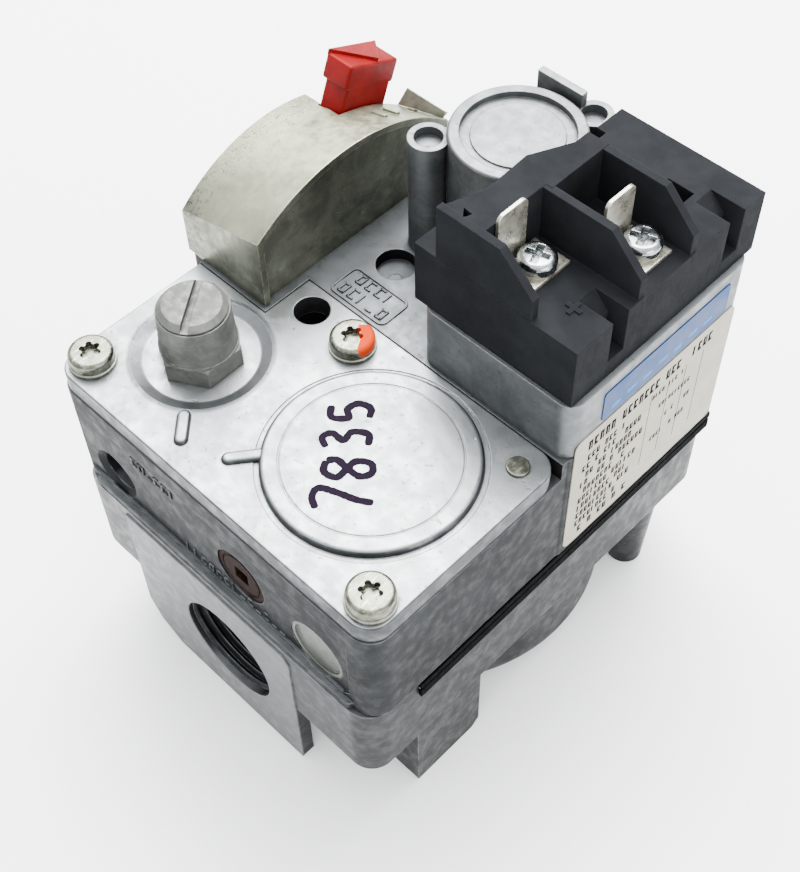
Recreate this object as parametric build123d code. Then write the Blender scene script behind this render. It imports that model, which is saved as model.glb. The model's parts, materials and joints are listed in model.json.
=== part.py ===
from build123d import *
import os
from math import cos, pi, sin

# Combination gas control valve for a furnace or boiler: two die castings, a cover plate with the
# pressure regulator tower, an arched gas-cock cover with a red lever, a magnet can and an
# electric operator with a two-terminal block.
# Positions below are in the casting frame: X = 0 at the cock side, Y = 0 at the inlet side and
# Z = 0 at the joint of the two castings. At the end everything moves so that the origin is the
# centre of the footprint on the resting plane.

# ---- driving dimensions, mm ----
BODY_X = 90.0
BODY_Y = 107.0
FRONT_Y = -0.6
TOP_Z = 33.4
PLATE_T = 4.8
PLATE_Z = TOP_Z - PLATE_T
REST_Z = -48.0
FLANGE_Z = -24.5
RIM_Z = -0.8
CORNER_R = 5.0

PORT_X, PORT_Z = 45.0, -25.6
PORT_R, PORT_LEN = 13.15, 16.0
PAD_Y0, PAD_Y1 = -2.2, 1.2
BACK_PAD_Y = 109.4

PACK_X0, PACK_X1 = 3.0, 90.2
PACK_Y0, PACK_Y1 = 12.0, 105.0
GASKET_Z, RING_Z, PACK_Z = -2.5, -3.1, -5.8

VALVE_X, VALVE_Y = 46.5, 59.0
CHAMBER_R, CHAMBER_TOP = 36.0, 7.5
DISH_R, DISH_Z = 42.0, -46.0
SEAT_Z = -23.0
CUP_R, CUP_TOP = 13.0, 15.0

TAP_X, TAP_Z, TAP_R = 12.8, 7.6, 4.85
PLUG_X, PLUG_Z = 52.3, 11.1
CUP_X, CUP_Z, CUP_PLUG_R = 73.8, 8.6, 7.1

REG_X, REG_Y = 19.3, 22.2
REG_DISH_R, REG_FLOOR = 14.5, 32.5
HEX_AF, HEX_TOP = 15.5, 37.4
TOWER_R0, TOWER_R1, TOWER_TOP = 7.9, 7.4, 46.8
CAP_R, CAP_Z0, CAP_Z1 = 7.05, 47.0, 48.4
CAP_STEM_R, CAP_STEM_Z = 5.45, 42.6
ADJUST_R, ADJUST_Z0, ADJUST_Z1 = 4.15, 36.6, 39.6
SPRING_SEAT_Z = 35.4

HEAD_X, HEAD_Y, HEAD_R = 63.1, 26.9, 21.4
PILOT_X, PILOT_Y, PILOT_R = 27.3, 45.35, 3.85
COVER_SCREWS = [(5.2, 5.7), (84.5, 5.3), (40.2, 44.4)]
PIN_X, PIN_Y = 84.1, 44.8
POCKET_X, POCKET_Y, POCKET_R = 30.8, 66.5, 4.4
LEGEND = (25.2, 41.0, 51.9, 60.4)

COCK_Y, COCK_Z = 65.0, 17.0
COCK_R = 7.0
ARCH_X0, ARCH_X1 = -4.5, 19.7
ARCH_Y0, ARCH_Y1 = 39.4, 94.0
ARCH_R = 43.0
ARCH_SLOPE = 0.2162
ARCH_WALL = 2.2
ARCH_SIDE_X = 18.3
ARCH_INNER_X = 16.2
STRIP_X = 8.6
LEVER_ANGLE = 22.4
ARM_X0, ARM_X1 = 3.3, 6.3
KNOB_X0, KNOB_X1 = 1.2, 8.4
KNOB_W, NECK_W = 7.3, 6.6
KNOB_TOP, KNOB_STEP, KNOB_LOW = 50.3, 44.9, 36.0

CAN_X, CAN_Y, CAN_R, CAN_TOP = 43.9, 88.2, 14.05, 64.1
EARS = [(31.0, 76.2, 4.3), (50.4, 103.8, 4.0)]
EAR_TOP = 62.5
EAR_WEBS = [[(29.4, 77.8), (32.6, 74.6), (CAN_X + 1.6, CAN_Y - 1.6), (CAN_X - 1.6, CAN_Y + 1.6)],
            [(48.2, 103.8), (52.6, 103.8), (CAN_X + 4, CAN_Y + 8), (CAN_X - 1, CAN_Y + 8)]]

HOUSING = (52.0, 90.3, 51.6, 105.5, TOP_Z, 49.1)
BLOCK = (50.1, 89.1, 52.4, 107.1, 49.1, 64.1)
FIN_T = 1.7
BACK_TOP = 76.4
COIL_X, COIL_Y, COIL_R = 72.6, 79.0, 10.2
TERMINALS = [(70.6, 62.8, 65.8, 74.2, 56.4, 67.9, 56.6, 64.3, 78.2),
             (81.6, 79.0, 76.6, 85.9, 72.9, 82.5, 73.1, 81.0, 76.9)]
BODY_SCREWS = [(5.0, 16.0), (83.0, 6.5), (6.0, 99.0), (83.0, 101.3)]
HOUSING_SCREWS = [(58.5, 58.5), (84.0, 99.0)]

parts = {}


# ---- helpers ----
def box(x0, x1, y0, y1, z0, z1):
    return Pos((x0 + x1) / 2, (y0 + y1) / 2, (z0 + z1) / 2) * Box(x1 - x0, y1 - y0, z1 - z0)


def slab(x0, x1, y0, y1, z0, z1, r):
    sketch = RectangleRounded(x1 - x0, y1 - y0, r)
    return Pos((x0 + x1) / 2, (y0 + y1) / 2, z0) * extrude(sketch, z1 - z0)


def cyl(x, y, r, z0, z1):
    return Pos(x, y, (z0 + z1) / 2) * Cylinder(r, z1 - z0)


def ring(x, y, r0, r1, z0, z1):
    return cyl(x, y, r1, z0, z1) - cyl(x, y, r0, z0 - 1, z1 + 1)


def cyl_y(x, z, r, y0, y1):
    return Pos(x, (y0 + y1) / 2, z) * Rot(90, 0, 0) * Cylinder(r, y1 - y0)


def cyl_x(y, z, r, x0, x1):
    return Pos((x0 + x1) / 2, y, z) * Rot(0, 90, 0) * Cylinder(r, x1 - x0)


def cone(x, y, r0, r1, z0, z1):
    return Pos(x, y, (z0 + z1) / 2) * Cone(r0, r1, z1 - z0)


def prism(points, z0, z1):
    return Pos(0, 0, z0) * extrude(make_face(Polyline(*points, close=True)), z1 - z0)


def prism_y(points, y0, y1):
    face = make_face(Polyline(*[(x, y0, z) for x, z in points], close=True))
    return extrude(face, y1 - y0, dir=(0, 1, 0))


def hexagon(x, y, flats, z0, z1, turn=0):
    sketch = RegularPolygon(flats / 2, 6, major_radius=False)
    return Pos(x, y, z0) * Rot(0, 0, turn) * extrude(sketch, z1 - z0)


def star(x, y, outer, inner, z0, z1):
    # six-lobed driver recess: rounded lobes around a round core
    lobe = (outer - inner) * 0.85
    recess = cyl(x, y, inner, z0, z1)
    for i in range(6):
        angle = pi * i / 3 + pi / 6
        recess += cyl(x + (outer - lobe) * cos(angle), y + (outer - lobe) * sin(angle), lobe, z0, z1)
    return recess


def spring(x, y, r, wire, z0, z1, turns):
    rise = z1 - z0 - wire
    path = Helix(pitch=rise / turns, height=rise, radius=r)
    profile = Plane(origin=path @ 0, z_dir=path % 0) * Circle(wire / 2)
    return Pos(x, y, z0 + wire / 2) * sweep(profile, path=path, is_frenet=True)


def rotary(local):
    # from the lever's own frame (upright at its hub) to its resting angle about the cock axis
    return Pos(0, COCK_Y, COCK_Z) * Rot(-LEVER_ANGLE, 0, 0) * local


def round_edges(shape, edges, radius):
    return fillet(edges, radius) if edges else shape


def edges_at(shape, z, kind=GeomType.CIRCLE):
    return [e for e in shape.edges().filter_by(kind) if abs(e.center().Z - z) < 0.01]


def add(name, *shapes):
    parts[name] = [solid for shape in shapes for solid in shape.solids()]


# ---- lower casting: flange, dish, threaded inlet and outlet, valve well ----
lower = slab(0.6, 89.3, -1.8, BODY_Y, FLANGE_Z, RIM_Z, 5.5)
dish = cyl(VALVE_X, VALVE_Y, DISH_R, DISH_Z, FLANGE_Z + 1)
dish = round_edges(dish, edges_at(dish, DISH_Z), 5)
lower += dish
pad_profile = [(15.3, -3), (15.3, -38), (18.5, -44), (25, REST_Z), (66.5, REST_Z), (66.5, -5),
               (64.5, -3)]
lower += prism_y(pad_profile, PAD_Y0, PAD_Y1)
back_profile = [(20, -3), (20, REST_Z), (71, REST_Z), (71, -3)]
lower += prism_y(back_profile, 105.4, BACK_PAD_Y)
lower += cyl_y(PORT_X, PORT_Z, 17.5, PAD_Y1 - 0.5, 28)
lower += cyl_y(PORT_X, PORT_Z, 17.5, 88, 106)
foot = prism_y([(80, FLANGE_Z + 1), (80, REST_Z), (89, REST_Z), (89, FLANGE_Z + 1)], 12, 31.5)
foot -= prism([(70, 31.6), (70, 40), (95, 40), (95, 31.6)], -60, 0)
lower += foot
lower -= Pos(84, 33, REST_Z) * Rot(45, 0, 0) * Box(12, 5, 5)
lower += cone(83.6, 90.6, 4.2, 5.4, REST_Z, FLANGE_Z + 1)
lower -= cyl(VALVE_X, VALVE_Y, CHAMBER_R + 1.5, DISH_Z + 4, 0)
lower -= box(PACK_X0, 95, PACK_Y0, PACK_Y1, PACK_Z, 1)

# inlet gallery leading under the valve seat
well_r = 16.5
gallery = cyl_y(PORT_X, PORT_Z, 13.0, 20, 40)
gallery += box(33, 60, 30, 48, -44, -27)
gallery += cyl(VALVE_X, VALVE_Y, well_r, -44, -25)
gallery = gallery & cyl(VALVE_X, VALVE_Y, CHAMBER_R + 3, -50, 0)
lower += gallery
lower -= cyl_y(PORT_X, PORT_Z, PORT_R, -5, PORT_LEN + PAD_Y0)
lower -= cyl_y(PORT_X, PORT_Z, 11.2, 0, 20)
lower -= cyl_y(PORT_X, PORT_Z, 9.8, 15, 37)
lower -= box(36, 57, 32, 52, -41, -29)
lower -= cyl(VALVE_X, VALVE_Y, 12.5, -41, -20)
lower -= cyl_y(PORT_X, PORT_Z, PORT_R, BACK_PAD_Y - PORT_LEN, BACK_PAD_Y + 3)
lower -= cyl_y(PORT_X, PORT_Z, 9.8, 80, 100)
for sx, sy in BODY_SCREWS:
    lower -= cyl(sx, sy, 2.4, -30, 1)
add("lower_body", lower)

screen = cyl_y(PORT_X, PORT_Z, 11.2, 19.2, 20.0)
for row in range(-4, 5):
    for col in range(-4, 5):
        if row * row + col * col < 17:
            screen -= cyl_y(PORT_X + col * 2.2, PORT_Z + row * 2.2, 0.75, 19, 21)
add("inlet_screen", screen)

# ---- clamped pack between the castings ----
def pack_layer(z0, z1):
    return box(PACK_X0, PACK_X1, PACK_Y0, PACK_Y1, z0, z1)


gasket = slab(0.9, 89.7, -0.3, BODY_Y - 0.3, RIM_Z, 0, 5)
gasket += pack_layer(GASKET_Z, RIM_Z)
gasket -= cyl(VALVE_X, VALVE_Y, CHAMBER_R, -10, 5)
support = box(PACK_X0, PACK_X1 - 0.5, PACK_Y0, PACK_Y1, RING_Z, GASKET_Z) - cyl(VALVE_X, VALVE_Y, CHAMBER_R, -10, 5)
skirt_profile = [(20.0, -8.6), (26.0, -8.6), (CHAMBER_R + 1.0, PACK_Z), (CHAMBER_R + 1.0, RING_Z),
                 (CHAMBER_R - 1.0, RING_Z - 0.6), (26.0, -7.4), (20.0, -7.4)]
skirt = make_face(Polyline(*[(x, 0, z) for x, z in skirt_profile], close=True))
skirt = Pos(VALVE_X, VALVE_Y, 0) * revolve(skirt, Axis.Z)
diaphragm = pack_layer(PACK_Z, RING_Z) - cyl(VALVE_X, VALVE_Y, CHAMBER_R, -10, 5) + skirt
for sx, sy in BODY_SCREWS:
    hole = cyl(sx, sy, 2.6, -10, 5)
    gasket -= hole
    support -= hole
    diaphragm -= hole
add("body_gasket", gasket)
add("diaphragm_ring", support)
add("main_diaphragm", diaphragm)

# ---- main valve hanging from the diaphragm ----
seat = ring(VALVE_X, VALVE_Y, 9.5, 12.5, -28, -24.2)
seat += ring(VALVE_X, VALVE_Y, 9.5, 10.7, -24.2, SEAT_Z)
add("main_valve_seat", seat)
add("main_valve_disc", ring(VALVE_X, VALVE_Y, 6.5, 14.2, SEAT_Z, SEAT_Z + 2.6))
stem = cyl(VALVE_X, VALVE_Y, 14.2, SEAT_Z + 2.6, -18.6)
stem += cyl(VALVE_X, VALVE_Y, 6.5, SEAT_Z + 0.8, SEAT_Z + 2.6)
stem += cyl(VALVE_X, VALVE_Y, 4.0, -18.6, -9.8)
add("main_valve_stem", stem)
plates = cyl(VALVE_X, VALVE_Y, 17.0, -9.8, -8.6) + cyl(VALVE_X, VALVE_Y, 20.0, -8.6, -7.4)
plates += cyl(VALVE_X, VALVE_Y, 25.0, -7.4, -6.4)
add("diaphragm_plates", plates)
add("main_valve_spring", spring(VALVE_X, VALVE_Y, 9.5, 1.6, -6.4, CUP_TOP, 6))

# ---- upper casting ----
def plate_zone(gap):
    outline = [(-9, -9), (99, -9), (99, 51 - gap), (20.5 + gap, 51 - gap), (20.5 + gap, 38.5 - gap),
               (-9, 38.5 - gap)]
    return prism(outline, PLATE_Z, TOP_Z + 3)


upper = slab(0, BODY_X, FRONT_Y, BODY_Y, 0, TOP_Z, CORNER_R)
upper += slab(ARCH_X0, 8, ARCH_Y0, 106, 2.5, TOP_Z, 2.5)
upper += slab(82, 90.3, 51.3, HOUSING[3], 0, TOP_Z, 2)
upper -= plate_zone(0)
upper -= prism_y([(-2, 2.0), (81.2, 2.0), (83.2, 4.0), (83.2, 21.6), (81.2, 23.6), (-2, 23.6)], -3, 0)
upper += slab(6, 84, -1.8, 2, 0, 1.5, 1.2)
upper -= cyl(VALVE_X, VALVE_Y, CHAMBER_R, -1, CHAMBER_TOP)
upper -= cyl(VALVE_X, VALVE_Y, CUP_R, 0, CUP_TOP)
# regulator and servo chambers under the cover plate
upper -= cyl(REG_X, REG_Y, 10.5, 18, PLATE_Z)
upper -= cyl(REG_X, REG_Y, 13.0, PLATE_Z - 1, PLATE_Z + 1)
upper -= cyl(HEAD_X, HEAD_Y, 17.5, 18, PLATE_Z)
upper -= cyl(HEAD_X, HEAD_Y, 20.0, PLATE_Z - 1, PLATE_Z + 1)
upper -= cyl(PILOT_X, PILOT_Y, PILOT_R, 20, PLATE_Z + 1)
upper -= cyl(PILOT_X, PILOT_Y, 2.05, 12, 21)
# front ports
upper -= cyl_y(TAP_X, TAP_Z, TAP_R, -3, 12)
upper -= Pos(TAP_X, 0.55, TAP_Z) * Rot(90, 0, 0) * Cone(TAP_R, 6.3, 1.1)
upper -= cyl_y(PLUG_X, PLUG_Z, 6.85, -3, 1.5)
upper -= cyl_y(PLUG_X, PLUG_Z, 4.85, 0, 11)
upper -= cyl_y(CUP_X, CUP_Z, CUP_PLUG_R, -3, 4)
upper -= cyl_y(CUP_X, CUP_Z, 5.5, 3, 9)
# gas cock bore, lever slot and safety valve cavity
upper -= cyl_x(COCK_Y, COCK_Z, COCK_R + 0.05, ARM_X1 + 0.2, 16)
upper -= cyl_x(COCK_Y, COCK_Z, 3.05, -2, 3)
upper -= cyl_x(COCK_Y, COCK_Z, 9.4, ARM_X0 - 0.3, ARM_X1 + 0.3)
upper -= box(ARM_X0 - 0.3, ARM_X1 + 0.3, COCK_Y - 2, 98, 12, TOP_Z + 1)
upper -= box(KNOB_X0 - 0.5, KNOB_X1 + 0.5, 54, 103.5, 22, TOP_Z + 1)
upper -= cyl(CAN_X, CAN_Y, 11.0, 12, TOP_Z + 1)
upper -= cyl(CAN_X, CAN_Y, 4.0, 9.5, 13)
upper -= cyl_x(88.2, COCK_Z, 2.5, 13, 36)
upper -= cyl_y(13, COCK_Z, 2.5, 67, 88.2)
# servo nozzle under the operator
upper -= cyl(COIL_X, COIL_Y, 6.0, 24, TOP_Z + 1)
upper += ring(COIL_X, COIL_Y, 0.8, 2.0, 23.5, 27.8)
# fastener holes
for sx, sy in COVER_SCREWS:
    upper -= cyl(sx, sy, 2.0, 18, TOP_Z)
for sx, sy in BODY_SCREWS:
    upper -= cyl(sx, sy, 2.4, -1, 10)
for sx, sy in HOUSING_SCREWS:
    upper -= cyl(sx, sy, 1.9, 25, TOP_Z + 1)
for ex, ey, er in EARS:
    upper -= cyl(ex, ey, 1.7, 0, TOP_Z + 1)
    upper -= cyl(ex, ey, 3.1, -1, CHAMBER_TOP)
upper -= cyl(14.0, 99.0, 1.6, 24, TOP_Z + 1)
upper -= cyl(PIN_X, PIN_Y, 1.5, 24, PLATE_Z + 1)
# round pocket and the frame of the cast legend behind the plate
upper -= cyl(POCKET_X, POCKET_Y, POCKET_R, TOP_Z - 3.0, TOP_Z + 1)
upper += cyl(POCKET_X + 1.2, POCKET_Y - 1.6, 1.5, TOP_Z - 3.2, TOP_Z - 2.3)
upper += (slab(*LEGEND, TOP_Z - 0.2, TOP_Z + 0.35, 1.6)
          - slab(LEGEND[0] + 0.5, LEGEND[1] - 0.5, LEGEND[2] + 0.5, LEGEND[3] - 0.5, TOP_Z, TOP_Z + 1,
                 1.1))
add("upper_body", upper)
add("tap_plug", cyl_y(PLUG_X, PLUG_Z, 6.8, 0.35, 1.5) + cyl_y(PLUG_X, PLUG_Z, 4.85, 1.5, 10)
    - cyl_y(PLUG_X, PLUG_Z, 5.6, -1, 0.6) + cyl_y(PLUG_X, PLUG_Z, 5.1, 0.3, 0.8)
    - box(PLUG_X - 1.9, PLUG_X + 1.9, -1, 4.5, PLUG_Z - 1.9, PLUG_Z + 1.9))
add("cup_plug", cyl_y(CUP_X, CUP_Z, CUP_PLUG_R, 0.2, 3.2) - cyl_y(CUP_X, CUP_Z, 6.3, -1, 0.9)
    - cyl_y(CUP_X, CUP_Z, 6.3, 1.9, 4))

# ---- cover plate with the regulator dish and the round servo head ----
plate = slab(0.2, BODY_X - 0.2, -0.3, BODY_Y, PLATE_Z, TOP_Z, CORNER_R) & plate_zone(0.06)
plate = round_edges(plate, [e for e in plate.edges().filter_by(Axis.Z)
                            if e.center().Y > 50 and e.center().X > 80], 5)
plate = round_edges(plate, [e for e in plate.edges().group_by(Axis.Z)[-1]], 0.35)
head = cyl(HEAD_X, HEAD_Y, HEAD_R, TOP_Z - 0.5, TOP_Z + 1.3)
head = round_edges(head, edges_at(head, TOP_Z + 1.3), 1.0)
plate -= ring(HEAD_X, HEAD_Y, HEAD_R - 1, HEAD_R + 1.1, TOP_Z - 0.2, TOP_Z + 1)
plate += head
plate -= ring(HEAD_X, HEAD_Y, 17.5, 17.9, TOP_Z + 1.15, TOP_Z + 2)
plate -= cone(REG_X, REG_Y, REG_DISH_R - 2.6, REG_DISH_R + 0.4, REG_FLOOR, TOP_Z + 0.2)
plate -= cyl(REG_X, REG_Y, 6.5, PLATE_Z - 1, TOP_Z)
plate -= cyl(REG_X, REG_Y, 10.5, PLATE_Z - 1, 30)
plate -= cyl(HEAD_X, HEAD_Y, 17.5, PLATE_Z - 1, 31.4)
for rx, ry, angle, length in [(31.1, 7.2, -46.7, 8.4), (44.9, 10.8, 52.0, 8.8)]:
    rib = extrude(SlotOverall(length, 2.8), 1.9)
    rib = round_edges(rib, rib.edges().group_by(Axis.Z)[-1], 0.9)
    plate += Pos(rx, ry, TOP_Z - 0.9) * Rot(0, 0, angle) * rib
for sx, sy in COVER_SCREWS:
    plate -= cyl(sx, sy, 2.3, PLATE_Z - 1, TOP_Z + 1)
plate -= cyl(PILOT_X, PILOT_Y, PILOT_R, PLATE_Z - 1, TOP_Z + 1)
plate -= cyl(PIN_X, PIN_Y, 1.5, PLATE_Z - 1, TOP_Z + 1)
add("cover_plate", plate)

screws = []
for sx, sy in COVER_SCREWS:
    top = cyl(sx, sy, 4.65, TOP_Z, 37.0)
    top = round_edges(top, edges_at(top, 37.0), 1.0)
    top += cyl(sx, sy, 4.9, TOP_Z, TOP_Z + 0.9)
    top -= star(sx, sy, 2.3, 1.6, 35.4, 38)
    screws.append(top + cyl(sx, sy, 2.0, 18.5, TOP_Z + 0.1))
add("cover_screws", *screws)
pin = cyl(PIN_X, PIN_Y, 2.35, TOP_Z, TOP_Z + 0.7)
add("cover_pin", round_edges(pin, edges_at(pin, TOP_Z + 0.7), 0.3) + cyl(PIN_X, PIN_Y, 1.5, 24.5, TOP_Z))

# ---- pressure regulator ----
add("regulator_diaphragm", ring(REG_X, REG_Y, 2.0, 13.0, PLATE_Z - 1, PLATE_Z))
add("regulator_plate", cyl(REG_X, REG_Y, 6.0, PLATE_Z, PLATE_Z + 1)
    + cyl(REG_X, REG_Y, 2.0, PLATE_Z - 4, PLATE_Z))
seat = hexagon(REG_X, REG_Y, HEX_AF, REG_FLOOR, HEX_TOP, 30)
seat = seat & cone(REG_X, REG_Y, 12.5, 8.5, REG_FLOOR - 0.5, HEX_TOP)
seat += cyl(REG_X, REG_Y, 6.5, 30, REG_FLOOR)
seat += cone(REG_X, REG_Y, TOWER_R0, TOWER_R1, HEX_TOP, TOWER_TOP)
seat += cyl(REG_X, REG_Y, TOWER_R0 + 0.2, HEX_TOP - 0.2, HEX_TOP + 0.4)
seat -= cyl(REG_X, REG_Y, ADJUST_R + 0.05, 25, 50)
seat -= cyl(REG_X, REG_Y, CAP_STEM_R + 0.05, CAP_STEM_Z - 0.2, 50)
add("regulator_seat", seat)
add("regulator_cap_washer", ring(REG_X, REG_Y, CAP_STEM_R + 0.05, CAP_R - 0.2, TOWER_TOP, CAP_Z0))
cap = cyl(REG_X, REG_Y, CAP_R, CAP_Z0, CAP_Z1)
cap = chamfer(edges_at(cap, CAP_Z1), 1.1)
cap += cyl(REG_X, REG_Y, CAP_STEM_R, CAP_STEM_Z, CAP_Z0)
slot_cut = Pos(REG_X, REG_Y, CAP_Z1) * Rot(0, 0, -54) * Box(20, 1.7, 2.4)
add("regulator_cap", cap - slot_cut)
adjuster = cyl(REG_X, REG_Y, ADJUST_R, ADJUST_Z0, ADJUST_Z1)
adjuster -= box(REG_X - 5, REG_X + 5, REG_Y - 0.6, REG_Y + 0.6, ADJUST_Z1 - 1.2, ADJUST_Z1 + 1)
add("regulator_adjust_screw", adjuster)
add("regulator_spring_seat", cyl(REG_X, REG_Y, 3.9, SPRING_SEAT_Z, ADJUST_Z0))
add("regulator_spring", spring(REG_X, REG_Y, 3.2, 0.9, PLATE_Z + 1, SPRING_SEAT_Z, 4.5))

# servo diaphragm and its backing plate under the round head
add("servo_diaphragm", ring(HEAD_X, HEAD_Y, 2.5, 20.0, PLATE_Z - 1, PLATE_Z))
add("servo_plate", cyl(HEAD_X, HEAD_Y, 13.0, PLATE_Z, PLATE_Z + 0.9)
    + cyl(HEAD_X, HEAD_Y, 2.5, PLATE_Z - 5, PLATE_Z))

# pilot flow screw deep in its hole, with the sealing ring under its head
pilot = cyl(PILOT_X, PILOT_Y, PILOT_R - 0.05, 21.6, 25.0) + cyl(PILOT_X, PILOT_Y, 2.0, 13.5, 21.6)
add("pilot_adjust_screw", pilot - box(PILOT_X - 5, PILOT_X + 5, PILOT_Y - 0.5, PILOT_Y + 0.5, 24, 26))
add("pilot_adjust_seal", ring(PILOT_X, PILOT_Y, 2.05, PILOT_R - 0.05, 20.0, 21.6))

# ---- gas cock: arched cover, plug, lever arm and red lever ----
def arch_cone(offset, x0, x1):
    radii = [ARCH_R - ARCH_SLOPE * (ARCH_X1 - x) - offset for x in (x0, x1)]
    return (Pos((x0 + x1) / 2, COCK_Y, COCK_Z) * Rot(0, 90, 0)
            * Cone(radii[0], radii[1], x1 - x0))


arch = arch_cone(0, ARCH_X0, ARCH_SIDE_X) & box(-10, 30, ARCH_Y0, ARCH_Y1, TOP_Z, 80)
arch -= arch_cone(ARCH_WALL, ARCH_X0 + ARCH_WALL, ARCH_INNER_X) & box(
    -10, 30, ARCH_Y0 + ARCH_WALL, ARCH_Y1 - ARCH_WALL, TOP_Z - 1, 80)
rim = arch_cone(0, ARCH_SIDE_X - 0.1, ARCH_X1)
rim -= arch_cone(1.6, ARCH_SIDE_X - 0.5, ARCH_X1 + 0.5) & box(-10, 30, ARCH_Y0 + 1.5, 120, 0, 80)
arch += rim & box(-10, 30, ARCH_Y0, ARCH_Y1, TOP_Z, 80)
opening = prism([(-9, 76.3), (STRIP_X, 72.9), (STRIP_X, 120), (-9, 120)], TOP_Z - 1, 80)
arch -= opening
arch -= rotary(box(KNOB_X0 + 0.3, STRIP_X, -NECK_W - 0.2, NECK_W + 0.2, 28, 60))
arch += (Pos((STRIP_X + ARCH_X1) / 2, 91.7, 49.6) * Rot(42, 0, 0)
         * Box(ARCH_X1 - STRIP_X, 5.0, 1.4))
arch += box(9.5, ARCH_SIDE_X, ARCH_Y1 - 1, 103, TOP_Z, TOP_Z + 2.8)
arch -= cyl(14.0, 99.0, 1.8, 30, 40)
# raised position marks beside the lever: a bar for the burning position, a dot for the pilot one
for mark_angle, mark_x, size in [(19.5, 14.4, (3.8, 1.1)), (24.5, 14.4, (3.8, 1.1)),
                                 (34.0, 14.6, (1.6, 1.6))]:
    radius = ARCH_R - ARCH_SLOPE * (ARCH_X1 - mark_x)
    mark = Pos(mark_x, 0, radius) * Rot(0, -12.2, 0) * Box(size[0], size[1], 1.0)
    arch += Pos(0, COCK_Y, COCK_Z) * Rot(-mark_angle, 0, 0) * mark
add("cock_cover", arch)
cover_head = cyl(14.0, 99.0, 3.2, TOP_Z + 2.8, TOP_Z + 5.4)
cover_head -= star(14.0, 99.0, 1.6, 1.1, TOP_Z + 4.2, TOP_Z + 6)
add("cock_cover_screw", cover_head + cyl(14.0, 99.0, 1.6, 25, TOP_Z + 2.9))

plug = cyl_x(COCK_Y, COCK_Z, COCK_R, ARM_X1 + 0.3, 15.8)
plug += rotary(Pos((ARM_X0 + ARM_X1 + 0.2) / 2, 0, 0) * Box(ARM_X1 - ARM_X0 + 0.6, 6.4, 6.4))
plug += cyl_x(COCK_Y, COCK_Z, 3.0, -1.8, ARM_X0)
plug -= Pos(12.0, COCK_Y, COCK_Z) * Rot(90 - LEVER_ANGLE, 0, 0) * Cylinder(2.5, 30)
add("cock_plug", plug)
arm = Pos((ARM_X0 + ARM_X1) / 2, 0, 0) * Rot(0, 90, 0) * Cylinder(9.0, ARM_X1 - ARM_X0)
arm += box(ARM_X0, ARM_X1, -3.0, 3.0, 5, 43)
arm -= box(ARM_X0 - 1, ARM_X1 + 1, -3.2, 3.2, -3.2, 3.2)
add("lever_arm", rotary(arm))

knob = box(KNOB_X0, KNOB_X1, -KNOB_W, KNOB_W, KNOB_STEP, KNOB_TOP)
knob = round_edges(knob, knob.edges(), 0.6)
neck = box(KNOB_X0 + 0.7, KNOB_X1 - 0.1, -NECK_W, NECK_W, KNOB_LOW, KNOB_STEP + 1)
neck = round_edges(neck, neck.edges().filter_by(Axis.Z), 0.5)
knob += neck
facet = prism([(KNOB_X0 + 0.1, -KNOB_W + 0.1), (KNOB_X1 - 0.3, 1.0), (KNOB_X0 + 0.1, KNOB_W - 0.1)],
              KNOB_TOP - 0.4, KNOB_TOP + 0.8)
knob += facet
knob -= box(ARM_X0 - 0.05, ARM_X1 + 0.05, -3.05, 3.05, KNOB_LOW - 1, 47.3)
add("lever_knob", rotary(knob))

# ---- magnet can with the flame-failure valve ----
can = cyl(CAN_X, CAN_Y, CAN_R, TOP_Z, CAN_TOP)
can = round_edges(can, edges_at(can, CAN_TOP), 0.6)
can -= cyl(CAN_X, CAN_Y, 11.7, CAN_TOP - 1.4, CAN_TOP + 1)
can += cyl(CAN_X, CAN_Y, 9.5, CAN_TOP - 2, CAN_TOP - 1.0)
for ex, ey, er in EARS:
    can += cyl(ex, ey, er, TOP_Z, EAR_TOP)
for web in EAR_WEBS:
    can += prism(web, TOP_Z, EAR_TOP - 1.5)
can += box(36, 47.6, 103, 104.7, TOP_Z, 65.9)
can += box(39.5, 45, 98, 103.4, TOP_Z, 60)
can -= cyl(CAN_X, CAN_Y, 12.0, TOP_Z - 1, 60.6)
for ex, ey, er in EARS:
    can -= cyl(ex, ey, 1.7, TOP_Z - 1, 45)
    can -= cyl(ex, ey, er - 1.3, EAR_TOP - 2.2, EAR_TOP + 1)
    can -= cyl(ex + 0.9, ey - 1.2, 1.1, EAR_TOP - 6, EAR_TOP)
add("magnet_housing", can)
ear_screws = []
for ex, ey, er in EARS:
    head = cyl(ex, ey, 3.0, CHAMBER_TOP - 2.6, CHAMBER_TOP) - star(ex, ey, 1.5, 1.0, 4, 6)
    ear_screws.append(head + cyl(ex, ey, 1.7, CHAMBER_TOP - 0.1, 44.5))
add("magnet_housing_screws", *ear_screws)
magnet = cyl(CAN_X, CAN_Y, 9.5, 48, 60.6)
magnet += ring(CAN_X, CAN_Y, 3.2, 5.2, 46.0, 48)
add("safety_magnet", magnet)
flap = cyl(CAN_X, CAN_Y, 7.0, 40.4, 42.0) + cyl(CAN_X, CAN_Y, 1.6, 14.4, 40.4)
flap += cyl(CAN_X, CAN_Y, 7.4, 14.4, 15.6)
add("safety_armature", flap)
add("safety_disc", cyl(CAN_X, CAN_Y, 7.4, 12.0, 14.4))
guide = ring(CAN_X, CAN_Y, 1.65, 11.0, 30.0, 31.5)
for i in range(4):
    guide -= cyl(CAN_X + 6.5 * cos(i * pi / 2), CAN_Y + 6.5 * sin(i * pi / 2), 1.6, 29, 33)
add("safety_guide", guide)
add("safety_spring", spring(CAN_X, CAN_Y, 4.0, 0.9, 15.6, 30.0, 6))

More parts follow.
